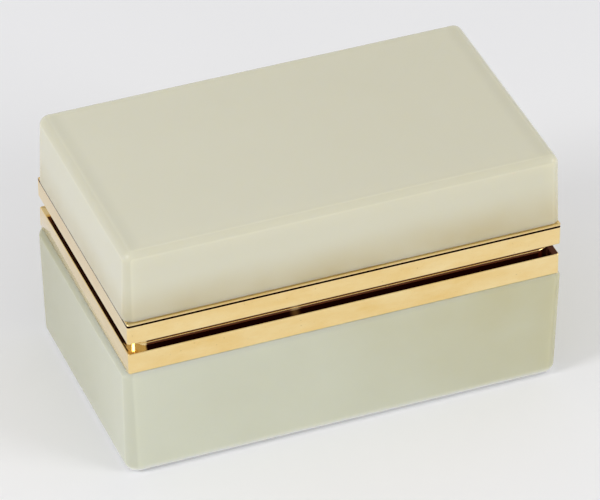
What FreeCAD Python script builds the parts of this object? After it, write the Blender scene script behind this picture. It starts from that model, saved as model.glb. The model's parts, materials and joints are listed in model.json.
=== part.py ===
import FreeCAD, Part
import math
import os
import re
import Sketcher

# A keepsake box of cast opaline glass: a deep base and a hinged lid, each with a stepped
# brass mount bedded on its rim. X runs along the front, Y to the back, Z up from the table.

# Driving dimensions, in millimetres and degrees: name, value, what it measures.
SIZES = [
    ("mount_length", 140.0, "outside length of the lid mount"),
    ("mount_width", 81.8, "outside depth of the lid mount, front to back"),
    ("base_mount_inset", 0.2, "how far the base mount stands inside the lid mount, each side"),
    ("band_height", 7.3, "height of each polished band"),
    ("band_thickness", 1.5, "thickness of each band"),
    ("band_corner_radius", 0.7, "outer upright corners of the bands"),
    ("band_edge_bevel", 0.35, "bevel of the long outer edges of the bands"),
    ("flange_thickness", 1.25, "flange that covers the ground rim of the glass"),
    ("lip_height", 1.9, "half of the finger groove: lip from ledge to parting plane"),
    ("lip_corner_radius", 5.0, "outer upright corners of the lips"),
    ("lip_edge_bevel", 0.25, "bevel of the lips at the parting plane"),
    ("rim_width", 6.3, "flat rim from the lip face in to the mouth"),
    ("mouth_corner_radius", 5.0, "upright corners of the mouth and of the hollows"),
    ("base_body_height", 39.3, "glass of the base from the table to its mount"),
    ("base_end_proud", 1.2, "base glass beyond the base mount at the two ends"),
    ("base_front_proud", 0.3, "base glass beyond the base mount at front and back"),
    ("base_corner_radius", 4.2, "upright corners of the base glass"),
    ("shoulder_drop", 1.8, "height of the sloping shoulder of the base glass under its mount"),
    ("shoulder_ledge", 0.1, "top of the sloping shoulder beyond the base mount, each side"),
    ("shoulder_corner_radius", 2.0, "upright corners at the top of the sloping shoulder"),
    ("foot_round", 3.4, "rounded lower edge of the base glass"),
    ("crown_height", 24.3, "glass of the lid above its mount"),
    ("crown_end_setback", 0.15, "lid glass behind the lid mount at the two ends"),
    ("crown_front_setback", 0.75, "lid glass behind the lid mount at front and back"),
    ("crown_corner_radius", 3.0, "upright corners of the lid glass"),
    ("crown_round", 2.2, "rounded top edge of the lid glass"),
    ("crown_hem_bevel", 0.35, "bevelled lower edge of the lid glass on its mount"),
    ("base_draft_angle", 0.85, "mould draft of the outer faces of the base glass"),
    ("lid_draft_angle", 1.5, "mould draft of the outer faces of the lid glass"),
    ("neck_corner_radius", 3.0, "upright corners of the ground necks inside the mounts"),
    ("floor_thickness", 8.0, "glass under the hollow of the base"),
    ("crown_thickness", 7.0, "glass above the hollow of the lid"),
    ("hollow_round", 4.0, "rounding between the walls and the bottom of each hollow"),
    ("hollow_draft_angle", 1.0, "mould draft of the hollows"),
    ("cement_side", 0.4, "cement between neck and band"),
    ("cement_bed", 0.6, "cement between ground rim and flange"),
    ("lid_stop_angle", 105.0, "opening at which the two bands meet at the back and stop the lid"),
    ("hinge_standoff", 0.1, "hinge axis outside the lip faces"),
    ("knuckle_radius", 1.6, "outside radius of the hinge knuckles"),
    ("knuckle_length", 14.0, "length of one knuckle"),
    ("knuckle_gap", 0.15, "end play between two knuckles"),
    ("knuckle_clearance", 0.25, "running room round a knuckle in the other mount's lip"),
    ("pin_radius", 0.75, "radius of the hinge pin"),
    ("pin_clearance", 0.03, "running room round the pin, on the radius"),
    ("pin_overhang", 0.4, "pin standing out of the outer knuckles"),
    ("pin_end_bevel", 0.25, "bevel of the pin's ends"),
    ("round_limit_share", 0.95, "largest share of a corner radius that a rounding may take"),
    ("cut_overrun", 1.0, "how far a cutting tool runs past what it cuts"),
]

# Half of a size, as in the distance from a middle plane.
HALF_SHARE = 0.5

# Levels above the table, as sums of driving dimensions.
SHOULDER_LEVEL = "base_body_height"
WAIST_LEVEL = "base_body_height - shoulder_drop"
BASE_LEDGE_LEVEL = "base_body_height + band_height"
PARTING_LEVEL = "base_body_height + band_height + lip_height"
LID_LEDGE_LEVEL = "base_body_height + band_height + 2 * lip_height"
HEM_LEVEL = "base_body_height + 2 * band_height + 2 * lip_height"
LID_TOP_LEVEL = "base_body_height + 2 * band_height + 2 * lip_height + crown_height"
NECK_HEIGHT = "band_height - flange_thickness - cement_bed"
BASE_RIM_LEVEL = f"{SHOULDER_LEVEL} + {NECK_HEIGHT}"
LID_RIM_LEVEL = f"{HEM_LEVEL} - ({NECK_HEIGHT})"

# The hinge axis lies on the parting plane, as far behind the bands as makes them the lid's stop,
# and the lips stand just behind it.
HINGE_SETBACK = "base_mount_inset + lip_height / tan(lid_stop_angle / 2)"
LIP_SETBACK = f"{HINGE_SETBACK} + hinge_standoff"

# Plan outlines: length, depth and corner radius of a rounded rectangle.
LID_MOUNT = ("mount_length", "mount_width", "band_corner_radius")
BASE_MOUNT = (
    "mount_length - 2 * base_mount_inset",
    "mount_width - 2 * base_mount_inset",
    "band_corner_radius",
)
LIP = (
    f"mount_length - 2 * ({LIP_SETBACK})",
    f"mount_width - 2 * ({LIP_SETBACK})",
    "lip_corner_radius",
)
MOUTH = (f"{LIP[0]} - 2 * rim_width", f"{LIP[1]} - 2 * rim_width", "mouth_corner_radius")
BASE_BODY = (
    f"{BASE_MOUNT[0]} + 2 * base_end_proud",
    f"{BASE_MOUNT[1]} + 2 * base_front_proud",
    "base_corner_radius",
)
SHOULDER = (
    f"{BASE_MOUNT[0]} + 2 * shoulder_ledge",
    f"{BASE_MOUNT[1]} + 2 * shoulder_ledge",
    "shoulder_corner_radius",
)
CROWN = (
    "mount_length - 2 * crown_end_setback",
    "mount_width - 2 * crown_front_setback",
    "crown_corner_radius",
)

# Knuckles of the hinge, counted in pitches from its middle.
BASE_KNUCKLES = {"base_knuckle_left": -2, "base_knuckle_middle": 0, "base_knuckle_right": 2}
LID_KNUCKLES = {"lid_knuckle_left": -1, "lid_knuckle_right": 1}
OUTER_PLACE = max(BASE_KNUCKLES.values())
KNUCKLE_PITCH = "knuckle_length + knuckle_gap"
HINGE_HALF_LENGTH = f"{OUTER_PLACE} * ({KNUCKLE_PITCH}) + knuckle_length / 2"
PIN_LENGTH = f"2 * ({HINGE_HALF_LENGTH}) + 2 * pin_overhang"

UP = FreeCAD.Vector(0, 0, 1)
QUARTER_TURN = math.pi / 2
ALONG_X = FreeCAD.Rotation(UP, FreeCAD.Vector(1, 0, 0))

doc = FreeCAD.newDocument("opaline_box")
sheet = doc.addObject("Spreadsheet::Sheet", "Sizes")
for row, (alias, size, meaning) in enumerate(SIZES, start=1):
    sheet.set(f"A{row}", meaning)
    sheet.set(f"B{row}", str(size))
    sheet.setAlias(f"B{row}", alias)
doc.recompute()


def cells(sum_of_sizes):
    """The same sum with every size pointing at its cell of the sheet."""
    return re.sub(r"\b([a-z]+(?:_[a-z]+)+)\b", r"Sizes.\1", sum_of_sizes)


def measure(sum_of_sizes):
    return float(sheet.evalExpression(cells(sum_of_sizes)))


def bind(item, field, sum_of_sizes):
    item.setExpression(field, cells(sum_of_sizes))


def inner_outline(outline, wall, radius):
    """The outline that lies one wall inside another, with corners of its own."""
    return (f"{outline[0]} - 2 * ({wall})", f"{outline[1]} - 2 * ({wall})", radius)


def neck_outline(mount):
    return inner_outline(mount, "band_thickness + cement_side", "neck_corner_radius")


def band_inside(mount):
    return inner_outline(mount, "band_thickness", "neck_corner_radius + cement_side")


def add_rounded_rectangle(sketch, tag, outline):
    """Draws a rounded rectangle about the sketch's origin and dimensions it from the sheet."""
    length, depth, radius = outline
    corner = measure(radius)
    x = measure(length) * HALF_SHARE
    y = measure(depth) * HALF_SHARE
    walls = [
        Part.LineSegment(FreeCAD.Vector(corner - x, -y), FreeCAD.Vector(x - corner, -y)),
        Part.LineSegment(FreeCAD.Vector(x, corner - y), FreeCAD.Vector(x, y - corner)),
        Part.LineSegment(FreeCAD.Vector(x - corner, y), FreeCAD.Vector(corner - x, y)),
        Part.LineSegment(FreeCAD.Vector(-x, y - corner), FreeCAD.Vector(-x, corner - y)),
    ]
    corners = []
    for quarter, (right, back) in enumerate([(1, -1), (1, 1), (-1, 1), (-1, -1)]):
        centre = FreeCAD.Vector(right * (x - corner), back * (y - corner))
        circle = Part.Circle(centre, UP, corner)
        corners.append(Part.ArcOfCircle(circle, (quarter - 1) * QUARTER_TURN, quarter * QUARTER_TURN))
    wall = list(sketch.addGeometry(walls, False))
    arc = list(sketch.addGeometry(corners, False))
    for side in range(4):
        sketch.addConstraint(Sketcher.Constraint("Tangent", wall[side], 2, arc[side], 1))
        sketch.addConstraint(Sketcher.Constraint("Tangent", arc[side], 2, wall[(side + 1) % 4], 1))
        direction = "Vertical" if side % 2 else "Horizontal"
        sketch.addConstraint(Sketcher.Constraint(direction, wall[side]))
    for other in arc[1:]:
        sketch.addConstraint(Sketcher.Constraint("Equal", arc[0], other))
    sketch.addConstraint(Sketcher.Constraint("Symmetric", arc[0], 3, arc[2], 3, -1, 1))
    dimensions = [
        (f"{tag}_length", length, Sketcher.Constraint("DistanceX", wall[3], 1, wall[1], 1, 2 * x)),
        (f"{tag}_depth", depth, Sketcher.Constraint("DistanceY", wall[0], 1, wall[2], 1, 2 * y)),
        (f"{tag}_corner", radius, Sketcher.Constraint("Radius", arc[0], corner)),
    ]
    for name, sum_of_sizes, constraint in dimensions:
        sketch.renameConstraint(sketch.addConstraint(constraint), name)
        bind(sketch, f"Constraints.{name}", sum_of_sizes)


def level_sketch(body, name, level):
    sketch = body.newObject("Sketcher::SketchObject", name)
    plane = [feature for feature in body.Origin.OriginFeatures if feature.Role == "XY_Plane"][0]
    sketch.AttachmentSupport = (plane, [""])
    sketch.MapMode = "FlatFace"
    bind(sketch, "AttachmentOffset.Base.z", level)
    return sketch


def plan_sketch(body, name, level, outer, inner=None):
    """A level sketch of one outline, or of the ring between two."""
    sketch = level_sketch(body, name, level)
    add_rounded_rectangle(sketch, "outer", outer)
    if inner:
        add_rounded_rectangle(sketch, "inner", inner)
    return sketch


def add_pad(body, name, sketch, height, downwards, draft=None):
    pad = body.newObject("PartDesign::Pad", name)
    pad.Profile = sketch
    pad.Reversed = downwards
    bind(pad, "Length", height)
    if draft:
        bind(pad, "TaperAngle", draft)
    doc.recompute()


def add_slope(body, name, lower, upper):
    """A solid with straight walls from one level outline to another."""
    slope = body.newObject("PartDesign::AdditiveLoft", name)
    slope.Profile = lower
    slope.Sections = [upper]
    slope.Ruled = True
    doc.recompute()


def add_pocket(body, name, sketch, depth, upwards, draft):
    """A drafted hollow; the solid has to lose material, or the hollow points the wrong way."""
    volume_before = body.Shape.Volume
    pocket = body.newObject("PartDesign::Pocket", name)
    pocket.Profile = sketch
    pocket.Reversed = upwards
    bind(pocket, "Length", depth)
    bind(pocket, "TaperAngle", draft)
    doc.recompute()
    if not body.Shape.Volume < volume_before:
        raise SystemExit(f"{name} cuts nothing")


def outline_edges(shape, level):
    """Names of the edges round the outside of the level face at a height."""
    height = measure(level)
    flats = [face for face in shape.Faces if isinstance(face.Surface, Part.Plane)]
    levels = [face for face in flats if round(abs(face.Surface.Axis.z)) == 1]
    nearest = min(levels, key=lambda face: abs(face.CenterOfMass.z - height))
    loop = nearest.OuterWire.Edges
    numbered = enumerate(shape.Edges, start=1)
    return [f"Edge{number}" for number, edge in numbered if any(edge.isSame(member) for member in loop)]


def dress_edges(body, kind, name, levels, field, size):
    """Eases the outer loops of the level faces at the given heights."""
    base = body.Tip
    edges = []
    for level in levels:
        edges.extend(outline_edges(base.Shape, level))
    dressing = body.newObject(f"PartDesign::{kind}", name)
    dressing.Base = (base, edges)
    bind(dressing, field, size)
    doc.recompute()


def add_fillet(body, name, levels, radius):
    dress_edges(body, "Fillet", name, levels, "Radius", radius)


def add_bevel(body, name, levels, width):
    dress_edges(body, "Chamfer", name, levels, "Size", width)


def limited_round(rounding, corner, drop, draft):
    """A rounding kept below the corner radius that the draft leaves at the far end of a wall."""
    return f"min({rounding}; round_limit_share * ({corner} - ({drop}) * tan({draft})))"


def make_mount(name, outline, ledge, band_end, parting, upwards):
    """One stepped mount as a closed ring: flange, band outside the glass and lip at the parting."""
    body = doc.addObject("PartDesign::Body", name)
    flange = plan_sketch(body, f"{name}_flange_plan", ledge, outline, MOUTH)
    add_pad(body, f"{name}_flange", flange, "flange_thickness", not upwards)
    band = plan_sketch(body, f"{name}_band_plan", ledge, outline, band_inside(outline))
    add_pad(body, f"{name}_band", band, "band_height", not upwards)
    lip = plan_sketch(body, f"{name}_lip_plan", ledge, LIP, MOUTH)
    add_pad(body, f"{name}_lip", lip, "lip_height", upwards)
    add_bevel(body, f"{name}_band_edges", [ledge, band_end], "band_edge_bevel")
    add_bevel(body, f"{name}_lip_edges", [parting], "lip_edge_bevel")
    return body


def make_base_glass():
    """Deep cast tub: drafted walls, sloping shoulder, ground neck for the mount, rounded foot."""
    body = doc.addObject("PartDesign::Body", "base_glass")
    walls = plan_sketch(body, "base_body_plan", WAIST_LEVEL, BASE_BODY)
    add_pad(body, "base_body", walls, WAIST_LEVEL, True, "-base_draft_angle")
    shoulder = plan_sketch(body, "base_shoulder_plan", SHOULDER_LEVEL, SHOULDER)
    add_slope(body, "base_shoulder", walls, shoulder)
    neck = plan_sketch(body, "base_neck_plan", SHOULDER_LEVEL, neck_outline(BASE_MOUNT))
    add_pad(body, "base_neck", neck, NECK_HEIGHT, False)
    foot = limited_round("foot_round", "base_corner_radius", WAIST_LEVEL, "base_draft_angle")
    add_fillet(body, "base_foot", ["0"], foot)
    mouth = plan_sketch(body, "base_hollow_plan", BASE_RIM_LEVEL, MOUTH)
    depth = f"{BASE_RIM_LEVEL} - floor_thickness"
    add_pocket(body, "base_hollow", mouth, depth, False, "-hollow_draft_angle")
    floor = limited_round("hollow_round", "mouth_corner_radius", depth, "hollow_draft_angle")
    add_fillet(body, "base_hollow_floor", ["floor_thickness"], floor)
    return body


def make_lid_glass():
    """Shallow cast cover: drafted walls, ground neck for the mount, rounded top edge."""
    body = doc.addObject("PartDesign::Body", "lid_glass")
    walls = plan_sketch(body, "crown_plan", HEM_LEVEL, CROWN)
    add_pad(body, "crown", walls, "crown_height", False, "-lid_draft_angle")
    neck = plan_sketch(body, "lid_neck_plan", HEM_LEVEL, neck_outline(LID_MOUNT))
    add_pad(body, "lid_neck", neck, NECK_HEIGHT, True)
    top = limited_round("crown_round", "crown_corner_radius", "crown_height", "lid_draft_angle")
    add_fillet(body, "crown_top", [LID_TOP_LEVEL], top)
    add_bevel(body, "crown_hem", [HEM_LEVEL], "crown_hem_bevel")
    mouth = plan_sketch(body, "lid_hollow_plan", LID_RIM_LEVEL, MOUTH)
    depth = f"{NECK_HEIGHT} + crown_height - crown_thickness"
    add_pocket(body, "lid_hollow", mouth, depth, True, "-hollow_draft_angle")
    ceiling = limited_round("hollow_round", "mouth_corner_radius", depth, "hollow_draft_angle")
    add_fillet(body, "lid_hollow_ceiling", [f"{LID_TOP_LEVEL} - crown_thickness"], ceiling)
    return body


def make_cement(name, mount, bedding_level, neck_level, downwards):
    """The cement that fills a mount round its glass: a bed on the rim and a skin on the neck."""
    body = doc.addObject("PartDesign::Body", name)
    bed = plan_sketch(body, f"{name}_bed_plan", bedding_level, band_inside(mount), MOUTH)
    add_pad(body, f"{name}_bed", bed, "cement_bed", downwards)
    skin = plan_sketch(body, f"{name}_skin_plan", neck_level, band_inside(mount), neck_outline(mount))
    add_pad(body, f"{name}_skin", skin, NECK_HEIGHT, not downwards)
    return body


def make_mitre_block(name, length, depth, quarter_turns):
    """A tall block with 45 degree ends that takes one side out of a mount."""
    block = doc.addObject("Part::Wedge", name)
    reach = f"{LIP_SETBACK} + rim_width + mouth_corner_radius"
    bind(block, "Ymin", f"-({depth}) / 2 - cut_overrun")
    bind(block, "Ymax", f"-({depth}) / 2 + {reach}")
    for near, far, side in (("Xmin", "X2min", "-"), ("Xmax", "X2max", "")):
        bind(block, near, f"{side}(({length}) / 2 + cut_overrun)")
        bind(block, far, f"{side}(({length}) / 2 - ({reach}))")
    for low, high in (("Zmin", "Zmax"), ("Z2min", "Z2max")):
        bind(block, low, f"{SHOULDER_LEVEL} - cut_overrun")
        bind(block, high, f"{HEM_LEVEL} + cut_overrun")
    block.Placement.Rotation = FreeCAD.Rotation(UP, 90 * quarter_turns)
    return block


def lay_on_hinge(item, start):
    """Turns an upright piece along the hinge axis, with its foot at a place along X."""
    item.Placement.Rotation = ALONG_X
    bind(item, "Placement.Base.x", start)
    bind(item, "Placement.Base.y", f"mount_width / 2 - ({HINGE_SETBACK})")
    bind(item, "Placement.Base.z", PARTING_LEVEL)


def hinge_rod(name, radius, start, length):
    rod = doc.addObject("Part::Cylinder", name)
    bind(rod, "Radius", radius)
    bind(rod, "Height", length)
    lay_on_hinge(rod, start)
    return rod


def knuckle_start(place):
    return f"{place} * ({KNUCKLE_PITCH}) - knuckle_length / 2"


def make_knuckle(name, place):
    """One bored tube of the hinge, counted in pitches from the middle."""
    tube = hinge_rod(f"{name}_tube", "knuckle_radius", knuckle_start(place), "knuckle_length")
    start = f"{knuckle_start(place)} - cut_overrun"
    length = "knuckle_length + 2 * cut_overrun"
    bore = hinge_rod(f"{name}_bore", "pin_radius + pin_clearance", start, length)
    return subtract(name, tube, bore)


def make_pin():
    """The wire through all knuckles, with both ends bevelled."""
    body = doc.addObject("PartDesign::Body", "hinge_pin")
    sketch = level_sketch(body, "pin_section", "0")
    circle = sketch.addGeometry(Part.Circle(FreeCAD.Vector(), UP, measure("pin_radius")), False)
    sketch.addConstraint(Sketcher.Constraint("Coincident", circle, 3, -1, 1))
    radius = Sketcher.Constraint("Radius", circle, measure("pin_radius"))
    sketch.renameConstraint(sketch.addConstraint(radius), "wire")
    bind(sketch, "Constraints.wire", "pin_radius")
    add_pad(body, "pin_wire", sketch, PIN_LENGTH, False)
    add_bevel(body, "pin_ends", ["0", PIN_LENGTH], "pin_end_bevel")
    lay_on_hinge(body, f"-({PIN_LENGTH}) / 2")
    return body


def subtract(name, solid, tool):
    cut = doc.addObject("Part::Cut", name)
    cut.Base = solid
    cut.Tool = tool
    return cut


def make_hinge_seat(name, own, other):
    """Quarter-round seats for a mount's own knuckles, with running room for the others."""
    rods = []
    for knuckle, place in own.items():
        rods.append(hinge_rod(f"{name}_{knuckle}", "knuckle_radius", knuckle_start(place), "knuckle_length"))
    room = "knuckle_radius + knuckle_clearance"
    for knuckle, place in other.items():
        start = f"{knuckle_start(place)} - knuckle_gap"
        rods.append(hinge_rod(f"{name}_{knuckle}", room, start, "knuckle_length + 2 * knuckle_gap"))
    pin_room = "pin_radius + knuckle_clearance"
    reach = f"{HINGE_HALF_LENGTH} + pin_overhang + knuckle_clearance"
    rods.append(hinge_rod(f"{name}_pin", pin_room, f"-({reach})", f"2 * ({reach})"))
    seat = doc.addObject("Part::MultiFuse", name)
    seat.Shapes = rods
    return seat


def make_rails(prefix, mount, blocks, seat):
    """The four mitred rails of a mount; the back one is let in for the hinge."""
    rails = {}
    for side, block in blocks.items():
        node = f"{prefix}_rail_{side}"
        rail = doc.addObject("Part::Common", f"{node}_length" if side == "back" else node)
        rail.Base = mount
        rail.Tool = block
        rails[node] = subtract(node, rail, seat) if side == "back" else rail
    return rails


def build():
    """All pieces of the box by the name of their node."""
    base_mount = make_mount("base_mount", BASE_MOUNT, BASE_LEDGE_LEVEL, SHOULDER_LEVEL, PARTING_LEVEL, False)
    lid_mount = make_mount("lid_mount", LID_MOUNT, LID_LEDGE_LEVEL, HEM_LEVEL, PARTING_LEVEL, True)
    blocks = {
        "front": make_mitre_block("front_mitre", "mount_length", "mount_width", 0),
        "right": make_mitre_block("right_mitre", "mount_width", "mount_length", 1),
        "back": make_mitre_block("back_mitre", "mount_length", "mount_width", 2),
        "left": make_mitre_block("left_mitre", "mount_width", "mount_length", 3),
    }
    pieces = {"base_glass": make_base_glass(), "lid_glass": make_lid_glass()}
    bed_level = f"{BASE_LEDGE_LEVEL} - flange_thickness"
    pieces["base_cement"] = make_cement("base_cement", BASE_MOUNT, bed_level, SHOULDER_LEVEL, True)
    bed_level = f"{LID_LEDGE_LEVEL} + flange_thickness"
    pieces["lid_cement"] = make_cement("lid_cement", LID_MOUNT, bed_level, HEM_LEVEL, False)
    base_seat = make_hinge_seat("base_seat", BASE_KNUCKLES, LID_KNUCKLES)
    lid_seat = make_hinge_seat("lid_seat", LID_KNUCKLES, BASE_KNUCKLES)
    pieces.update(make_rails("base", base_mount, blocks, base_seat))
    pieces.update(make_rails("lid", lid_mount, blocks, lid_seat))
    for node, place in {**BASE_KNUCKLES, **LID_KNUCKLES}.items():
        pieces[node] = make_knuckle(node, place)
    pieces["hinge_pin"] = make_pin()
    return pieces


def check_and_write(pieces):
    """Stops on any failed object or solid, then writes one file for each piece."""
    doc.recompute()
    for item in doc.Objects:
        if {"Invalid", "Error"} & set(item.State):
            raise SystemExit(f"{item.Name} failed: {item.State}")
    for node, item in pieces.items():
        shape = item.Shape
        if shape.isNull() or not shape.isValid() or len(shape.Solids) != 1:
            raise SystemExit(f"{node} is not one sound solid")
    os.makedirs("parts", exist_ok=True)
    for node, item in pieces.items():
        item.Label = node
        item.Shape.exportStep(os.path.join("parts", f"{node}.step"))
        print(node, round(item.Shape.Volume, 1))


check_and_write(build())
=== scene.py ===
"""Looks of the opaline glass keepsake box: glass, gilt brass mounts, hinge, floor, light and camera."""

import json
import math
from collections import namedtuple

import bmesh
import bpy
from mathutils import Matrix, Vector


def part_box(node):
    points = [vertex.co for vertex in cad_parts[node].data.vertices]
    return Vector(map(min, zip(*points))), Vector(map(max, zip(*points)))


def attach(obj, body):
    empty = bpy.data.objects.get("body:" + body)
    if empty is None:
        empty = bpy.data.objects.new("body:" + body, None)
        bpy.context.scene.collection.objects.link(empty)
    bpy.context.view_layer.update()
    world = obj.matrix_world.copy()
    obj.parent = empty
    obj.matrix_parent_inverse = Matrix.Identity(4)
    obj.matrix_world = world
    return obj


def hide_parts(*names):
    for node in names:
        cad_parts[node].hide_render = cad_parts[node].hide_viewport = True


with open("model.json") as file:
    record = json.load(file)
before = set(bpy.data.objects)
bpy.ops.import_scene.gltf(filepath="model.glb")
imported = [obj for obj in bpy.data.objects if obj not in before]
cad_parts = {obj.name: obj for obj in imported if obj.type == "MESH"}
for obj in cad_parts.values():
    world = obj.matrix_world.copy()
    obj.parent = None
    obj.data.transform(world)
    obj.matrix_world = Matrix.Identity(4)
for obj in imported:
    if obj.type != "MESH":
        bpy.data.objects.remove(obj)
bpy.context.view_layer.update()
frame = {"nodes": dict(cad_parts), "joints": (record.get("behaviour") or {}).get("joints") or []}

# Units: the frame is in metres, and a size in millimetres is written times MM
MM = 0.001

# Sizes of the glass that the boxes of the nodes don't give
BASE_DRAFT = math.tan(math.radians(0.85))
LID_DRAFT = math.tan(math.radians(1.5))
HOLLOW_DRAFT = math.tan(math.radians(1.0))
FOOT_CORNER = 4.2 * MM
WAIST_CORNER = 3.2 * MM
SHOULDER_CORNER = 2.0 * MM
CROWN_CORNER = 3.2 * MM
LEAST_CORNER = 0.3 * MM
NECK_CORNER = 3.0 * MM
MOUTH_CORNER = 5.0 * MM
FOOT_ROUND = 3.6 * MM
SHOULDER_DROP = 1.8 * MM
SHOULDER_LEDGE = 0.1 * MM
SHOULDER_ROUND = 0.5 * MM
CROWN_ROUND = 2.4 * MM
END_ROUND = 3.2 * MM
END_PROUD = 0.45 * MM
HEM_ROUND = 0.35 * MM
RIM_ROUND = 0.3 * MM
HOLLOW_ROUND = 3.9 * MM
FLOOR_THICKNESS = 8.0 * MM
CROWN_THICKNESS = 7.0 * MM
CEMENT_SIDE = 0.4 * MM

# Sizes of the brass mounts that the boxes of the nodes don't give
LIP_HEIGHT = 1.9 * MM
LIP_CORNER = 5.0 * MM
LIP_ROUND = 0.25 * MM
RIM_WIDTH = 6.3 * MM
HINGE_STANDOFF = 0.1 * MM
BAND_CORNER = 0.7 * MM
BAND_INSIDE_CORNER = 0.4 * MM
BAND_ROUND = 0.35 * MM
BEAD_HEIGHT = 0.45 * MM
QUIRK_HEIGHT = 0.62 * MM
QUIRK_DEPTH = 0.5 * MM

# Steps of each quarter of a corner and of each rounded edge, and limits for sharp, welded and cut edges
CORNER_STEPS = 10
ROUND_STEPS = 6
SHARP_ANGLE = math.radians(35)
WELD_DISTANCE = 0.001 * MM
CUT_TOLERANCE = 0.0001 * MM

# Patterns in the glass: their sizes, the milk's range from pale to deep, and how far above the hem the
# lid's painted brass glow reaches
CLOUD_SIZE = 28 * MM
CLOUD_SHARE = 0.4
PALE_FROM = -0.55
DEEP_FROM = 0.45
HONEY_SHARE = 1.2
GLOW_ABOVE_HEM = 15.5 * MM
MILK_DEPTH = 5 * MM
BREATH_SIZE = 9 * MM
SWELL_SIZE = 22 * MM
SWELL_HEIGHT = 0.5 * MM

# Painted shade at the edges of the glass and painted light at its foot: shares of black, or of white at the
# foot, and where they start and end
ROUND_SHADE = 0.1
END_SHADE = 0.075
SIDE_SHADE = 0.035
FOOT_LIGHT = 0.78
FLAT_FACING = 0.999
ROUND_FACING = 0.93
END_MARGIN = (8 * MM, 3.4 * MM)
SIDE_MARGIN = (4.8 * MM, 3 * MM)
FOOT_MARGIN = (1.1 * FOOT_ROUND, 0.1 * FOOT_ROUND)

# Patterns on the brass: their sizes, and a speck's core and rim as shares of the spacing
RUB_SIZE = 6 * MM
SCRATCH_SIZE = 0.25 * MM
DENT_SIZE = 6 * MM
DENT_HEIGHT = 0.1 * MM
SPECK_SPACING = 2.6 * MM
SPECK_CORE = 0.03
SPECK_RIM = 0.07
SPECK_SHARE = 0.6

# Painted shade on the lips and in the quirk, standing for their shadow and dark reflections, and the shares
# of it left where the brass shows bright
GROOVE_SHADE_SHARE = 0.985
UNSHADED_PARTING = 0.16 * MM
GROOVE_SHADE_REACH = 0.02 * MM
QUIRK_SHADE_REACH = 0.06 * MM
BRIGHT_RIM = 2.0 * MM
RIM_FADE = 0.5 * MM
CORNER_FADE = 0.6 * MM
CORNER_SHADE_SHARE = 0.15
BRIGHT_SPOT = -16 * MM
BRIGHT_SPOT_CORE = 0.2 * MM
BRIGHT_SPOT_RIM = 2.2 * MM
BRIGHT_SPOT_SHADE_SHARE = 0.75

# Patterns on the steel, on the cement and on the floor's paper
DRAWN_LINE = 0.15 * MM
GRAIN_SIZE = 0.4 * MM
GRAIN_HEIGHT = 0.1 * MM
FIBRE_SIZE = 60 * MM

# The photograph's view: angles in degrees, from the front and above the floor, and the lens in millimetres
VIEW_AZIMUTH = -20.99
VIEW_ELEVATION = 36.23
VIEW_ROLL = -0.30
VIEW_DISTANCE = 1576.5 * MM
VIEW_TARGET = Vector((4.743, 10.585, 30.4)) * MM
LENS = 305.06
SENSOR_WIDTH = 36.0

# The studio: half the floor's side in metres, brightness of the tent, and where the soft boxes face
FLOOR_HALF = 3.0
FLOOR_STEPS = 8
TENT_LOW = 0.65
TENT_HIGH = 0.68
LIGHT_TARGET = Vector((0, 0, 40 * MM))

# Brass that is shown as it came: the hinge and the two rails that are let in for it
BRASS_NODES = (
    "base_rail_back", "lid_rail_back", "base_knuckle_left", "base_knuckle_middle", "base_knuckle_right",
    "lid_knuckle_left", "lid_knuckle_right")

# Places from the frame
base_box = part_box("base_glass")
lid_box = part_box("lid_glass")
base_front_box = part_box("base_rail_front")
lid_front_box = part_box("lid_rail_front")
base_cement_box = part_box("base_cement")
lid_cement_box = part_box("lid_cement")
hinge_y, parting = frame["joints"][0]["pos_m"][1:]

base_length = base_box[1].x - base_box[0].x
base_width = base_box[1].y - base_box[0].y
shoulder = base_front_box[0].z
hem = lid_front_box[1].z
lip_half_width = hinge_y - HINGE_STANDOFF
lip_setback = -lid_front_box[0].y - lip_half_width
lip_half_length = lid_front_box[1].x - lip_setback

# An outline is a level rectangle with rounded corners
Outline = namedtuple("Outline", "length width corner level")

# A milk deepens by the shares of fade for each metre, a painted shade towards the right end and, on the
# base, the back; its honey gathers along a way, over a reach
Milk = namedtuple("Milk", "pale deep fade honey along reach")
BASE_MILK = Milk(
    pale="#D4D6C4", deep="#BCBBA0", fade=(1 / (2 * base_length), 1 / base_width, 0),
    honey="#C4BD94", along=(0.7, 0, 1), reach=(10 * MM, 95 * MM))
# On the lid the honey is a painted glow: the brass band reflected in the glass just above the hem
LID_MILK = Milk(
    pale="#DCDAC7", deep="#D7D4BF", fade=(1 / base_length, 0, 0),
    honey="#C0B083", along=(0.03, 0, -1), reach=(-hem - GLOW_ABOVE_HEM, -hem))


def srgb(hex_colour):
    """A linear RGBA colour from an sRGB hex value."""
    shares = [int(hex_colour[place:place + 2], 16) / 255 for place in (1, 3, 5)]
    linear = [s / 12.92 if s <= 0.04045 else ((s + 0.055) / 1.055) ** 2.4 for s in shares]
    return (*linear, 1.0)


def add_node(tree, kind, settings=None, inputs=None):
    """Adds a node, sets its properties and sockets, and links the sockets that are given a socket."""
    node = tree.nodes.new(kind)
    for name, value in (settings or {}).items():
        setattr(node, name, value)
    for name, value in (inputs or {}).items():
        if isinstance(value, bpy.types.NodeSocket):
            tree.links.new(value, node.inputs[name])
        else:
            node.inputs[name].default_value = value
    return node


def new_material(name):
    """An empty material and its node tree."""
    material = bpy.data.materials.new(name)
    material.use_nodes = True
    material.node_tree.nodes.clear()
    return material, material.node_tree


def direction(azimuth, elevation):
    """The unit vector to a place at an angle round from the front and an angle up, in degrees."""
    turn, rise = math.radians(azimuth), math.radians(elevation)
    return Vector((
        math.sin(turn) * math.cos(rise), -math.cos(turn) * math.cos(rise), math.sin(rise)))


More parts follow.
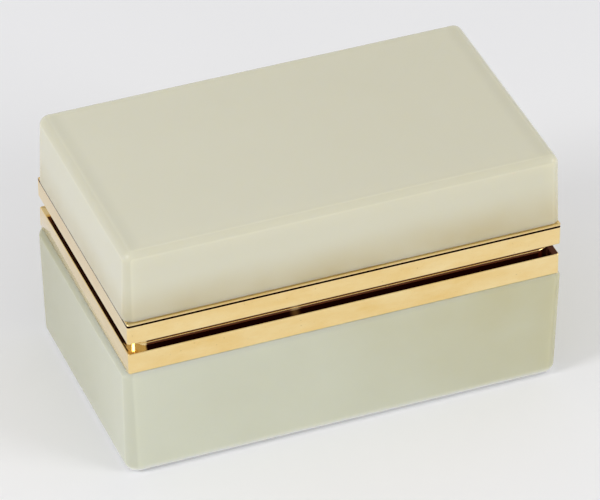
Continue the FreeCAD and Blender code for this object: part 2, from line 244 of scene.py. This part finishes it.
# Look of the glass
def milk_colour(tree, place, milk):
    """Pale to deep in soft clouds and in painted shade across the piece, with patches of honey, which on
    the lid are a painted glow of the brass.
    """
    clouds = add_node(
        tree, "ShaderNodeTexNoise",
        inputs={"Vector": place, "Scale": 1 / CLOUD_SIZE, "Detail": 3.0, "Roughness": 0.45})
    # Painted shade: the milk deepens along the fade, towards the right end and, on the base, the back
    across = add_node(
        tree, "ShaderNodeVectorMath", {"operation": "DOT_PRODUCT"}, {0: place, 1: milk.fade})
    drift = add_node(
        tree, "ShaderNodeMath", {"operation": "MULTIPLY_ADD"},
        {0: clouds.outputs["Fac"], 1: CLOUD_SHARE, 2: across.outputs["Value"]})
    depth = add_node(
        tree, "ShaderNodeMapRange",
        inputs={"Value": drift.outputs["Value"], "From Min": PALE_FROM, "From Max": DEEP_FROM})
    clouded = add_node(
        tree, "ShaderNodeMix", {"data_type": "RGBA"},
        {"Factor": depth.outputs["Result"], "A": srgb(milk.pale), "B": srgb(milk.deep)})
    # Patches of honey; on the lid they are a painted glow of the brass above the hem
    way = add_node(
        tree, "ShaderNodeVectorMath", {"operation": "DOT_PRODUCT"}, {0: place, 1: milk.along})
    gathered = add_node(
        tree, "ShaderNodeMapRange", {"interpolation_type": "SMOOTHSTEP"},
        {"Value": way.outputs["Value"], "From Min": milk.reach[0], "From Max": milk.reach[1],
         "To Max": HONEY_SHARE})
    patches = add_node(
        tree, "ShaderNodeMath", {"operation": "MULTIPLY"},
        {0: gathered.outputs["Result"], 1: clouds.outputs["Fac"]})
    colour = add_node(
        tree, "ShaderNodeMix", {"data_type": "RGBA"},
        {"Factor": patches.outputs["Value"], "A": clouded.outputs["Result"], "B": srgb(milk.honey)})
    return colour.outputs["Result"]


def painted_edge_shade(tree, place, normal):
    """The share of black painted as shade over the rounded edges, and on level faces beside them."""
    facing = add_node(tree, "ShaderNodeVectorMath", {"operation": "ABSOLUTE"}, {0: normal})
    faces = add_node(tree, "ShaderNodeSeparateXYZ", inputs={"Vector": facing.outputs["Vector"]})
    upright = add_node(
        tree, "ShaderNodeMath", {"operation": "MAXIMUM"},
        {0: faces.outputs["X"], 1: faces.outputs["Y"]})
    flat = add_node(
        tree, "ShaderNodeMath", {"operation": "MAXIMUM"},
        {0: upright.outputs["Value"], 1: faces.outputs["Z"]})
    rounded = add_node(
        tree, "ShaderNodeMapRange", {"interpolation_type": "SMOOTHSTEP"},
        {"Value": flat.outputs["Value"], "From Min": FLAT_FACING, "From Max": ROUND_FACING,
         "To Max": ROUND_SHADE})
    outward = add_node(tree, "ShaderNodeVectorMath", {"operation": "ABSOLUTE"}, {0: place})
    inset = add_node(
        tree, "ShaderNodeVectorMath", {"operation": "SUBTRACT"},
        {0: tuple(lid_box[1]), 1: outward.outputs["Vector"]})
    insets = add_node(tree, "ShaderNodeSeparateXYZ", inputs={"Vector": inset.outputs["Vector"]})
    end_margin = add_node(
        tree, "ShaderNodeMapRange", {"interpolation_type": "SMOOTHSTEP"},
        {"Value": insets.outputs["X"], "From Min": END_MARGIN[0], "From Max": END_MARGIN[1],
         "To Max": END_SHADE})
    side_margin = add_node(
        tree, "ShaderNodeMapRange", {"interpolation_type": "SMOOTHSTEP"},
        {"Value": insets.outputs["Y"], "From Min": SIDE_MARGIN[0], "From Max": SIDE_MARGIN[1],
         "To Max": SIDE_SHADE})
    margin = add_node(
        tree, "ShaderNodeMath", {"operation": "MAXIMUM"},
        {0: end_margin.outputs["Result"], 1: side_margin.outputs["Result"]})
    level_margin = add_node(
        tree, "ShaderNodeMath", {"operation": "MULTIPLY"},
        {0: margin.outputs["Value"], 1: faces.outputs["Z"]})
    edge = add_node(
        tree, "ShaderNodeMath", {"operation": "MAXIMUM"},
        {0: rounded.outputs["Result"], 1: level_margin.outputs["Value"]})
    return edge.outputs["Value"]


def painted_foot_light(tree, place):
    """The share of white painted as light over the foot, in place of the contact shade there."""
    height = add_node(tree, "ShaderNodeSeparateXYZ", inputs={"Vector": place})
    foot = add_node(
        tree, "ShaderNodeMapRange", {"interpolation_type": "SMOOTHSTEP"},
        {"Value": height.outputs["Z"], "From Min": FOOT_MARGIN[0], "From Max": FOOT_MARGIN[1],
         "To Max": FOOT_LIGHT})
    return foot.outputs["Result"]


def opaline_glass(name, milk):
    """Cast and fire-polished opaline: milky, light sinks a few millimetres in, with a soft gloss.

    Painted shade darkens the glass over its rounded edges, and painted light whitens its foot."""
    material, tree = new_material(name)
    coordinates = add_node(tree, "ShaderNodeTexCoord")
    place = coordinates.outputs["Object"]
    # Painted shade: the colour is mixed towards black over the rounded edges and on the level faces beside
    # them
    edge_shaded = add_node(
        tree, "ShaderNodeMix", {"data_type": "RGBA"},
        {"Factor": painted_edge_shade(tree, place, coordinates.outputs["Normal"]),
         "A": milk_colour(tree, place, milk), "B": srgb("#000000")})
    # Painted light: the colour is mixed towards white over the foot, where the floor would shade it
    ground = add_node(
        tree, "ShaderNodeMix", {"data_type": "RGBA"},
        {"Factor": painted_foot_light(tree, place), "A": edge_shaded.outputs["Result"], "B": srgb("#FFFFFF")})
    breath = add_node(
        tree, "ShaderNodeTexNoise",
        inputs={"Vector": place, "Scale": 1 / BREATH_SIZE, "Detail": 4.0, "Roughness": 0.6})
    gloss = add_node(
        tree, "ShaderNodeMapRange",
        inputs={"Value": breath.outputs["Fac"], "To Min": 0.04, "To Max": 0.08})
    swell = add_node(
        tree, "ShaderNodeTexNoise",
        inputs={"Vector": place, "Scale": 1 / SWELL_SIZE, "Detail": 1.0})
    bump = add_node(
        tree, "ShaderNodeBump",
        inputs={"Height": swell.outputs["Fac"], "Strength": 0.06, "Distance": SWELL_HEIGHT})
    shader = add_node(
        tree, "ShaderNodeBsdfPrincipled",
        inputs={
            "Base Color": ground.outputs["Result"], "Roughness": gloss.outputs["Result"],
            "IOR": 1.5, "Subsurface Weight": 1.0, "Subsurface Radius": (1.0, 0.95, 0.75),
            "Subsurface Scale": MILK_DEPTH, "Normal": bump.outputs["Normal"]})
    add_node(tree, "ShaderNodeOutputMaterial", inputs={"Surface": shader.outputs["BSDF"]})
    return material


# Look of the brass
def painted_groove_shade(tree, place):
    """Painted shade: dark in the lid band's quirk and in the finger groove, standing for their shadow and
    dark reflections, and less at the groove's left corners and at a spot where the brass shows bright.
    """
    spot = add_node(tree, "ShaderNodeSeparateXYZ", inputs={"Vector": place})
    rise = add_node(
        tree, "ShaderNodeMath", {"operation": "SUBTRACT"}, {0: spot.outputs["Z"], 1: parting})
    off_parting = add_node(
        tree, "ShaderNodeMath", {"operation": "ABSOLUTE"}, {0: rise.outputs["Value"]})
    groove_top = LIP_HEIGHT + GROOVE_SHADE_REACH
    groove = add_node(
        tree, "ShaderNodeMath", {"operation": "COMPARE"},
        {0: off_parting.outputs["Value"], 1: (groove_top + UNSHADED_PARTING) / 2,
         2: (groove_top - UNSHADED_PARTING) / 2})
    quirk = add_node(
        tree, "ShaderNodeMath", {"operation": "COMPARE"},
        {0: spot.outputs["Z"], 1: hem - BEAD_HEIGHT - QUIRK_HEIGHT / 2,
         2: QUIRK_HEIGHT / 2 + QUIRK_SHADE_REACH})
    outward = add_node(tree, "ShaderNodeVectorMath", {"operation": "ABSOLUTE"}, {0: place})
    beyond = add_node(
        tree, "ShaderNodeVectorMath", {"operation": "SUBTRACT"},
        {0: outward.outputs["Vector"], 1: (lip_half_length - LIP_CORNER, lip_half_width - LIP_CORNER, 0)})
    sides = add_node(tree, "ShaderNodeSeparateXYZ", inputs={"Vector": beyond.outputs["Vector"]})
    farthest = add_node(
        tree, "ShaderNodeMath", {"operation": "MAXIMUM"},
        {0: sides.outputs["X"], 1: sides.outputs["Y"]})
    outside = add_node(
        tree, "ShaderNodeMapRange",
        inputs={"Value": farthest.outputs["Value"], "From Min": BRIGHT_RIM,
                "From Max": BRIGHT_RIM + RIM_FADE, "To Max": GROOVE_SHADE_SHARE})
    nearest = add_node(
        tree, "ShaderNodeMath", {"operation": "MINIMUM"},
        {0: sides.outputs["X"], 1: sides.outputs["Y"]})
    leftward = add_node(
        tree, "ShaderNodeMath", {"operation": "MULTIPLY"}, {0: spot.outputs["X"], 1: -1.0})
    left_corner = add_node(
        tree, "ShaderNodeMath", {"operation": "MINIMUM"},
        {0: nearest.outputs["Value"], 1: leftward.outputs["Value"]})
    corner_shade = add_node(
        tree, "ShaderNodeMapRange",
        inputs={"Value": left_corner.outputs["Value"], "From Min": 0.0, "From Max": CORNER_FADE,
                "To Min": 1.0, "To Max": CORNER_SHADE_SHARE})
    sideways = add_node(
        tree, "ShaderNodeMath", {"operation": "SUBTRACT"}, {0: spot.outputs["X"], 1: BRIGHT_SPOT})
    off_spot = add_node(
        tree, "ShaderNodeMath", {"operation": "ABSOLUTE"}, {0: sideways.outputs["Value"]})
    spot_shade = add_node(
        tree, "ShaderNodeMapRange", {"interpolation_type": "SMOOTHSTEP"},
        {"Value": off_spot.outputs["Value"], "From Min": BRIGHT_SPOT_CORE, "From Max": BRIGHT_SPOT_RIM,
         "To Min": BRIGHT_SPOT_SHADE_SHARE})
    shade_left = add_node(
        tree, "ShaderNodeMath", {"operation": "MULTIPLY"},
        {0: corner_shade.outputs["Result"], 1: spot_shade.outputs["Result"]})
    groove_shade = add_node(
        tree, "ShaderNodeMath", {"operation": "MULTIPLY"},
        {0: groove.outputs["Value"], 1: shade_left.outputs["Value"]})
    dark = add_node(
        tree, "ShaderNodeMath", {"operation": "MAXIMUM"},
        {0: groove_shade.outputs["Value"], 1: quirk.outputs["Value"]})
    share = add_node(
        tree, "ShaderNodeMath", {"operation": "MULTIPLY"},
        {0: dark.outputs["Value"], 1: outside.outputs["Result"]})
    return share.outputs["Value"]


def gilt_brass():
    """Mirror-polished gilt brass under lacquer: warm clear reflections, whiter at a slant, a bit worn, with
    painted shade in the groove and the quirk.
    """
    material, tree = new_material("gilt_brass")
    place = add_node(tree, "ShaderNodeTexCoord").outputs["Object"]
    along = add_node(
        tree, "ShaderNodeMapping", inputs={"Vector": place, "Scale": (0.4, 0.4, 1.0)})
    rubbed = add_node(
        tree, "ShaderNodeTexNoise",
        inputs={"Vector": along.outputs["Vector"], "Scale": 1 / RUB_SIZE, "Detail": 6.0, "Roughness": 0.6})
    worn = add_node(
        tree, "ShaderNodeMapRange",
        inputs={"Value": rubbed.outputs["Fac"], "From Min": 0.25, "From Max": 0.75})
    gold = add_node(
        tree, "ShaderNodeMix", {"data_type": "RGBA"},
        {"Factor": worn.outputs["Result"], "A": srgb("#FDE4A7"), "B": srgb("#F4CF7F")})
    cells = add_node(
        tree, "ShaderNodeTexVoronoi", inputs={"Vector": place, "Scale": 1 / SPECK_SPACING})
    specks = add_node(
        tree, "ShaderNodeMapRange",
        inputs={"Value": cells.outputs["Distance"], "From Min": SPECK_CORE, "From Max": SPECK_RIM,
                "To Min": SPECK_SHARE, "To Max": 0.0})
    specked = add_node(
        tree, "ShaderNodeMix", {"data_type": "RGBA"},
        {"Factor": specks.outputs["Result"], "A": gold.outputs["Result"], "B": srgb("#7A5A28")})
    painted_shade = painted_groove_shade(tree, place)
    # Painted shade: dark brown over the lips and in the quirk, standing for their shadow and dark
    # reflections, with the lacquer coat taken off there
    colour = add_node(
        tree, "ShaderNodeMix", {"data_type": "RGBA"},
        {"Factor": painted_shade, "A": specked.outputs["Result"], "B": srgb("#4E2110")})
    lacquer = add_node(tree, "ShaderNodeMath", {"operation": "SUBTRACT"}, {0: 1.0, 1: painted_shade})
    scratches = add_node(
        tree, "ShaderNodeTexNoise",
        inputs={"Vector": along.outputs["Vector"], "Scale": 1 / SCRATCH_SIZE, "Detail": 4.0,
                "Roughness": 0.6})
    gloss = add_node(
        tree, "ShaderNodeMapRange",
        inputs={"Value": scratches.outputs["Fac"], "To Min": 0.06, "To Max": 0.2})
    dents = add_node(
        tree, "ShaderNodeTexNoise",
        inputs={"Vector": place, "Scale": 1 / DENT_SIZE, "Detail": 2.0})
    bump = add_node(
        tree, "ShaderNodeBump",
        inputs={"Height": dents.outputs["Fac"], "Strength": 0.1, "Distance": DENT_HEIGHT})
    shader = add_node(
        tree, "ShaderNodeBsdfPrincipled",
        inputs={
            "Base Color": colour.outputs["Result"], "Metallic": 1.0,
            "Roughness": gloss.outputs["Result"], "Normal": bump.outputs["Normal"],
            "Coat Weight": lacquer.outputs["Value"], "Coat Roughness": 0.05})
    add_node(tree, "ShaderNodeOutputMaterial", inputs={"Surface": shader.outputs["BSDF"]})
    return material


# Look of the steel, the cement and the paper
def drawn_steel():
    """Drawn steel wire: grey, satin, with faint lines along its length."""
    material, tree = new_material("drawn_steel")
    place = add_node(tree, "ShaderNodeTexCoord").outputs["Object"]
    along = add_node(
        tree, "ShaderNodeMapping", inputs={"Vector": place, "Scale": (0.02, 1.0, 1.0)})
    lines = add_node(
        tree, "ShaderNodeTexNoise",
        inputs={"Vector": along.outputs["Vector"], "Scale": 1 / DRAWN_LINE, "Detail": 2.0})
    colour = add_node(
        tree, "ShaderNodeMix", {"data_type": "RGBA"},
        {"Factor": lines.outputs["Fac"], "A": srgb("#A9A49B"), "B": srgb("#C4C0B8")})
    shader = add_node(
        tree, "ShaderNodeBsdfPrincipled",
        inputs={"Base Color": colour.outputs["Result"], "Metallic": 1.0, "Roughness": 0.35})
    add_node(tree, "ShaderNodeOutputMaterial", inputs={"Surface": shader.outputs["BSDF"]})
    return material


def plaster_cement():
    """Set plaster: matt, chalky, with fine pores."""
    material, tree = new_material("plaster_cement")
    place = add_node(tree, "ShaderNodeTexCoord").outputs["Object"]
    grains = add_node(
        tree, "ShaderNodeTexNoise",
        inputs={"Vector": place, "Scale": 1 / GRAIN_SIZE, "Detail": 4.0})
    colour = add_node(
        tree, "ShaderNodeMix", {"data_type": "RGBA"},
        {"Factor": grains.outputs["Fac"], "A": srgb("#CFC8B8"), "B": srgb("#E4DFD2")})
    bump = add_node(
        tree, "ShaderNodeBump",
        inputs={"Height": grains.outputs["Fac"], "Strength": 0.4, "Distance": GRAIN_HEIGHT})
    shader = add_node(
        tree, "ShaderNodeBsdfPrincipled",
        inputs={
            "Base Color": colour.outputs["Result"], "Roughness": 0.9,
            "Normal": bump.outputs["Normal"]})
    add_node(tree, "ShaderNodeOutputMaterial", inputs={"Surface": shader.outputs["BSDF"]})
    return material


def floor_paper():
    """White background paper: matt, with hardly a cloud in it."""
    material, tree = new_material("floor_paper")
    place = add_node(tree, "ShaderNodeTexCoord").outputs["Object"]
    fibres = add_node(
        tree, "ShaderNodeTexNoise",
        inputs={"Vector": place, "Scale": 1 / FIBRE_SIZE, "Detail": 2.0})
    colour = add_node(
        tree, "ShaderNodeMix", {"data_type": "RGBA"},
        {"Factor": fibres.outputs["Fac"], "A": srgb("#F2F2F4"), "B": srgb("#F4F4F6")})
    shader = add_node(
        tree, "ShaderNodeBsdfPrincipled",
        inputs={"Base Color": colour.outputs["Result"], "Roughness": 0.8})
    add_node(tree, "ShaderNodeOutputMaterial", inputs={"Surface": shader.outputs["BSDF"]})
    return material


# Shaping
def first_ring(bm, outline):
    """The ring of edges of an outline."""
    verts = bmesh.ops.create_grid(bm, x_segments=1, y_segments=1, size=0.5)["verts"]
    bmesh.ops.scale(bm, vec=(outline.length, outline.width, 1), verts=verts)
    bmesh.ops.translate(bm, vec=(0, 0, outline.level), verts=verts)
    verts = bmesh.ops.bevel(
        bm, geom=verts, offset=outline.corner, offset_type="OFFSET", segments=CORNER_STEPS,
        profile=0.5, affect="VERTICES", material=-1)["verts"]
    face = verts[0].link_faces[0]
    ring = list(face.edges)
    bmesh.ops.delete(bm, geom=[face], context="FACES_ONLY")
    return ring


def next_ring(bm, ring, start, end):
    """Extrudes a ring to the next outline: each corner is resized about its centre and moved."""
    made = bmesh.ops.extrude_edge_only(bm, edges=ring)["geom"]
    verts = {item for item in made if isinstance(item, bmesh.types.BMVert)}
    edges = [item for item in made if isinstance(item, bmesh.types.BMEdge)]
    share = end.corner / start.corner
    for right in (-1, 1):
        for back in (-1, 1):
            arc = [v for v in verts if v.co.x * right > 0 and v.co.y * back > 0]
            centres = [
                Vector((right * (o.length / 2 - o.corner), back * (o.width / 2 - o.corner), o.level))
                for o in (start, end)]
            bmesh.ops.scale(
                bm, vec=(share, share, 1), space=Matrix.Translation(-centres[0]), verts=arc)
            bmesh.ops.translate(bm, vec=centres[1] - centres[0], verts=arc)
    return [edge for edge in edges if set(edge.verts) <= verts]


def loft(bm, outlines):
    """Walls through a row of outlines; returns the ring of edges at each of them."""
    rings = [first_ring(bm, outlines[0])]
    for start, end in zip(outlines, outlines[1:]):
        rings.append(next_ring(bm, rings[-1], start, end))
    return rings


def round_edges(bm, edges, radius):
    """Rounds a ring of edges over."""
    bmesh.ops.bevel(
        bm, geom=edges, offset=radius, offset_type="OFFSET", segments=ROUND_STEPS,
        profile=0.5, affect="EDGES", material=-1)


def finish_piece(bm, name, body, node, material):
    """Makes the mesh an object with flat faces and smooth roundings that stands for a node."""
    mesh = bpy.data.meshes.new(name)
    for face in bm.faces:
        face.smooth = True
    bm.to_mesh(mesh)
    bm.free()
    mesh.set_sharp_from_angle(angle=SHARP_ANGLE)
    piece = bpy.data.objects.new(name, mesh)
    bpy.context.scene.collection.objects.link(piece)
    mesh.materials.append(material)
    normals = piece.modifiers.new("flat_faces", "WEIGHTED_NORMAL")
    normals.keep_sharp = True
    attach(piece, body)
    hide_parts(node)


# Shape of the glass
def neck_outline(cement_box, level):
    """The ground neck of a glass: the inside of its band less the cement."""
    length = cement_box[1].x - cement_box[0].x - 2 * CEMENT_SIDE
    width = cement_box[1].y - cement_box[0].y - 2 * CEMENT_SIDE
    return Outline(length, width, NECK_CORNER, level)


def mouth_outline(level, depth=0.0):
    """The mouth of the hollow, or its drafted wall at a depth."""
    inset = RIM_WIDTH + depth * HOLLOW_DRAFT
    length = 2 * (lip_half_length - inset)
    width = 2 * (lip_half_width - inset)
    return Outline(length, width, MOUTH_CORNER - depth * HOLLOW_DRAFT, level)


def rounded_foot(outline):
    """The outlines of the rounding under a wall, from the flat of the foot to the wall."""
    rows = []
    for step in range(ROUND_STEPS + 1):
        turn = math.pi / 2 * (1 - step / ROUND_STEPS)
        inset = FOOT_ROUND * (1 - math.cos(turn))
        rise = FOOT_ROUND * (1 - math.sin(turn))
        rows.append(Outline(
            outline.length - 2 * inset, outline.width - 2 * inset,
            max(outline.corner - inset, LEAST_CORNER), outline.level + rise))
    return rows


def crown_edge(outline):
    """The outlines of the lid's rounded top edge, which is softer over the ends than over the sides."""
    rows = []
    for step in range(2 * ROUND_STEPS + 1):
        turn = math.pi / 2 * (1 - step / (2 * ROUND_STEPS))
        drop = END_ROUND * (1 - math.sin(turn))
        end_inset = END_ROUND * (1 - math.cos(turn))
        rise = max(CROWN_ROUND - drop, 0)
        side_inset = CROWN_ROUND - math.sqrt(CROWN_ROUND ** 2 - rise ** 2)
        rows.append(Outline(
            outline.length - 2 * end_inset, outline.width - 2 * side_inset,
            max(outline.corner - side_inset, LEAST_CORNER), outline.level - drop))
    return rows


def make_glass(body, material, walls, wall_rounds, rim_level, bottom, cement_box):
    """One cast glass: its outer walls, then the ground neck and the drafted hollow."""
    bm = bmesh.new()
    rings = loft(bm, walls + [
        neck_outline(cement_box, walls[-1].level),
        neck_outline(cement_box, rim_level),
        mouth_outline(rim_level),
        mouth_outline(bottom, abs(rim_level - bottom)),
    ])
    bmesh.ops.edgeloop_fill(bm, edges=rings[0])
    bmesh.ops.edgeloop_fill(bm, edges=rings[-1])
    bmesh.ops.recalc_face_normals(bm, faces=bm.faces[:])
    for wall, radius in wall_rounds.items():
        round_edges(bm, rings[wall], radius)
    round_edges(bm, rings[-3], RIM_ROUND)
    round_edges(bm, rings[-2], RIM_ROUND)
    round_edges(bm, rings[-1], HOLLOW_ROUND)
    finish_piece(bm, f"{body}_opaline", body, f"{body}_glass", material)


def make_base_glass(material):
    """The tub: rounded foot, upright corners that widen downwards, sloping shoulder under the mount."""
    waist = shoulder - SHOULDER_DROP
    lean = 2 * waist * BASE_DRAFT
    ledge_length = base_front_box[1].x - base_front_box[0].x + 2 * SHOULDER_LEDGE
    ledge_width = -2 * base_front_box[0].y + 2 * SHOULDER_LEDGE
    walls = rounded_foot(Outline(base_length - lean, base_width - lean, FOOT_CORNER, base_box[0].z))
    walls.append(Outline(base_length, base_width, WAIST_CORNER, waist))
    walls.append(Outline(ledge_length, ledge_width, SHOULDER_CORNER, shoulder))
    rounds = {len(walls) - 2: SHOULDER_ROUND}
    make_glass("base", material, walls, rounds, base_box[1].z, FLOOR_THICKNESS, base_cement_box)


def make_lid_glass(material):
    """The cover: rounded top edge, leaning walls and an eased hem on the mount."""
    length = 2 * (lid_front_box[1].x + END_PROUD)
    width = lid_box[1].y - lid_box[0].y
    top = lid_box[1].z
    lean = (top - hem) * LID_DRAFT
    walls = crown_edge(Outline(length - 2 * lean, width - 2 * lean, CROWN_CORNER - lean, top))
    walls.append(Outline(length, width, CROWN_CORNER, hem))
    rounds = {len(walls) - 1: HEM_ROUND}
    make_glass("lid", material, walls, rounds, lid_box[0].z, top - CROWN_THICKNESS, lid_cement_box)


# Shape of the brass
def mount_ring(front_box, cement_box, edge_level, away, quirk):
    """A whole stepped mount as a closed ring: band, ledge, lip, flange and the inside of the band.

    Away is 1 or -1, upwards or downwards from the parting to the outer edge of the band.
    A quirk is a fine square channel that sets off a bead along that edge."""
    length = front_box[1].x - front_box[0].x
    width = -2 * front_box[0].y
    ledge = parting + away * LIP_HEIGHT
    flange = cement_box[1].z if away < 0 else cement_box[0].z
    band = Outline(length, width, BAND_CORNER, edge_level)
    lip = Outline(2 * lip_half_length, 2 * lip_half_width, LIP_CORNER, ledge)
    inside = Outline(2 * cement_box[1].x, 2 * cement_box[1].y, BAND_INSIDE_CORNER, flange)
    outlines = [band]
    if quirk:
        bead_level = edge_level - away * BEAD_HEIGHT
        quirk_level = bead_level - away * QUIRK_HEIGHT
        channel = Outline(
            length - 2 * QUIRK_DEPTH, width - 2 * QUIRK_DEPTH, BAND_CORNER - QUIRK_DEPTH, bead_level)
        outlines += [
            band._replace(level=bead_level), channel,
            channel._replace(level=quirk_level), band._replace(level=quirk_level)]
    step = len(outlines)
    outlines += [
        band._replace(level=ledge),
        lip,
        lip._replace(level=parting),
        mouth_outline(parting),
        mouth_outline(flange),
        inside,
        inside._replace(level=edge_level),
    ]
    bm = bmesh.new()
    rings = loft(bm, outlines + outlines[:1])
    bmesh.ops.remove_doubles(bm, verts=bm.verts[:], dist=WELD_DISTANCE)
    bmesh.ops.recalc_face_normals(bm, faces=bm.faces[:])
    round_edges(bm, [edge for edge in rings[0] + rings[-1] if edge.is_valid], BAND_ROUND)
    round_edges(bm, rings[step], BAND_ROUND)
    round_edges(bm, rings[step + 2], LIP_ROUND)
    round_edges(bm, rings[step + 3], LIP_ROUND)
    return bm


def mitre(bm, side, length, width):
    """Keeps one side of a mount, cut at 45 degrees through its corners and closed there."""
    across = (length - width) / 2
    cuts = {
        "front": [((across, 0, 0), (1, 1, 0)), ((-across, 0, 0), (-1, 1, 0))],
        "right": [((across, 0, 0), (-1, 1, 0)), ((across, 0, 0), (-1, -1, 0))],
        "left": [((-across, 0, 0), (1, 1, 0)), ((-across, 0, 0), (1, -1, 0))],
    }
    for place, normal in cuts[side]:
        geometry = bm.verts[:] + bm.edges[:] + bm.faces[:]
        cut = bmesh.ops.bisect_plane(
            bm, geom=geometry, dist=CUT_TOLERANCE, plane_co=place, plane_no=normal, clear_outer=True)
        open_edges = [e for e in cut["geom_cut"] if isinstance(e, bmesh.types.BMEdge)]
        bmesh.ops.edgenet_fill(bm, edges=open_edges)
    bmesh.ops.recalc_face_normals(bm, faces=bm.faces[:])


def make_rails(body, front_box, cement_box, edge_level, away, quirk, brass):
    """The front and the two end rails of a mount, each a length of the same ring."""
    length = front_box[1].x - front_box[0].x
    width = -2 * front_box[0].y
    ring = mount_ring(front_box, cement_box, edge_level, away, quirk)
    for side in ("front", "right", "left"):
        rail = ring.copy()
        mitre(rail, side, length, width)
        finish_piece(rail, f"{body}_band_{side}", body, f"{body}_rail_{side}", brass)
    ring.free()


def dress_node(node, material):
    """Gives a node its material, with its shape as it came from the frame."""
    materials = frame["nodes"][node].data.materials
    materials.clear()
    materials.append(material)


# Stage
def make_floor():
    """A wide level sheet of paper under the box."""
    bm = bmesh.new()
    bmesh.ops.create_grid(bm, x_segments=FLOOR_STEPS, y_segments=FLOOR_STEPS, size=FLOOR_HALF)
    mesh = bpy.data.meshes.new("floor")
    bm.to_mesh(mesh)
    bm.free()
    floor = bpy.data.objects.new("floor", mesh)
    bpy.context.scene.collection.objects.link(floor)
    mesh.materials.append(floor_paper())


def soft_box(name, azimuth, elevation, distance, side, power):
    """A square studio light that faces the box: distance and side in metres, power in watts."""
    light = bpy.data.lights.new(name, "AREA")
    light.shape = "SQUARE"
    light.size = side
    light.energy = power
    lamp = bpy.data.objects.new(name, light)
    bpy.context.scene.collection.objects.link(lamp)
    back = direction(azimuth, elevation)
    lamp.location = LIGHT_TARGET + back * distance
    lamp.rotation_mode = "QUATERNION"
    lamp.rotation_quaternion = back.to_track_quat("Z", "Y")


def make_light():
    """A white tent, a little brighter overhead than round the horizon, with two soft boxes in it."""
    soft_box("left", azimuth=-78, elevation=35, distance=1.4, side=0.4, power=5.5)
    soft_box("right", azimuth=45, elevation=23, distance=1.5, side=0.6, power=6.5)
    world = bpy.data.worlds.new("tent")
    world.use_nodes = True
    tree = world.node_tree
    heading = add_node(tree, "ShaderNodeTexCoord").outputs["Generated"]
    rise = add_node(tree, "ShaderNodeSeparateXYZ", inputs={"Vector": heading})
    glow = add_node(
        tree, "ShaderNodeMapRange",
        inputs={"Value": rise.outputs["Z"], "To Min": TENT_LOW, "To Max": TENT_HIGH})
    cloth = tree.nodes["Background"]
    cloth.inputs["Color"].default_value = srgb("#FFFFFF")
    tree.links.new(glow.outputs["Result"], cloth.inputs["Strength"])
    bpy.context.scene.world = world
    bpy.context.scene.view_settings.view_transform = "Standard"


def make_camera():
    """The photograph's view: turned to the left of the front, from above, with a long lens."""
    camera = bpy.data.cameras.new("camera")
    camera.sensor_width = SENSOR_WIDTH
    camera.lens = LENS
    holder = bpy.data.objects.new("camera", camera)
    bpy.context.scene.collection.objects.link(holder)
    back = direction(VIEW_AZIMUTH, VIEW_ELEVATION)
    position = Matrix.Translation(VIEW_TARGET + back * VIEW_DISTANCE)
    upright = back.to_track_quat("Z", "Y").to_matrix().to_4x4()
    roll = Matrix.Rotation(math.radians(VIEW_ROLL), 4, "Z")
    holder.matrix_world = position @ upright @ roll
    bpy.context.scene.camera = holder


brass = gilt_brass()
cement = plaster_cement()
make_base_glass(opaline_glass("opaline_base", BASE_MILK))
make_lid_glass(opaline_glass("opaline_lid", LID_MILK))
make_rails("base", base_front_box, base_cement_box, shoulder, away=-1, quirk=False, brass=brass)
make_rails("lid", lid_front_box, lid_cement_box, hem, away=1, quirk=True, brass=brass)
dress_node("base_cement", cement)
dress_node("lid_cement", cement)
dress_node("hinge_pin", drawn_steel())
for node in BRASS_NODES:
    dress_node(node, brass)
make_floor()
make_light()
make_camera()
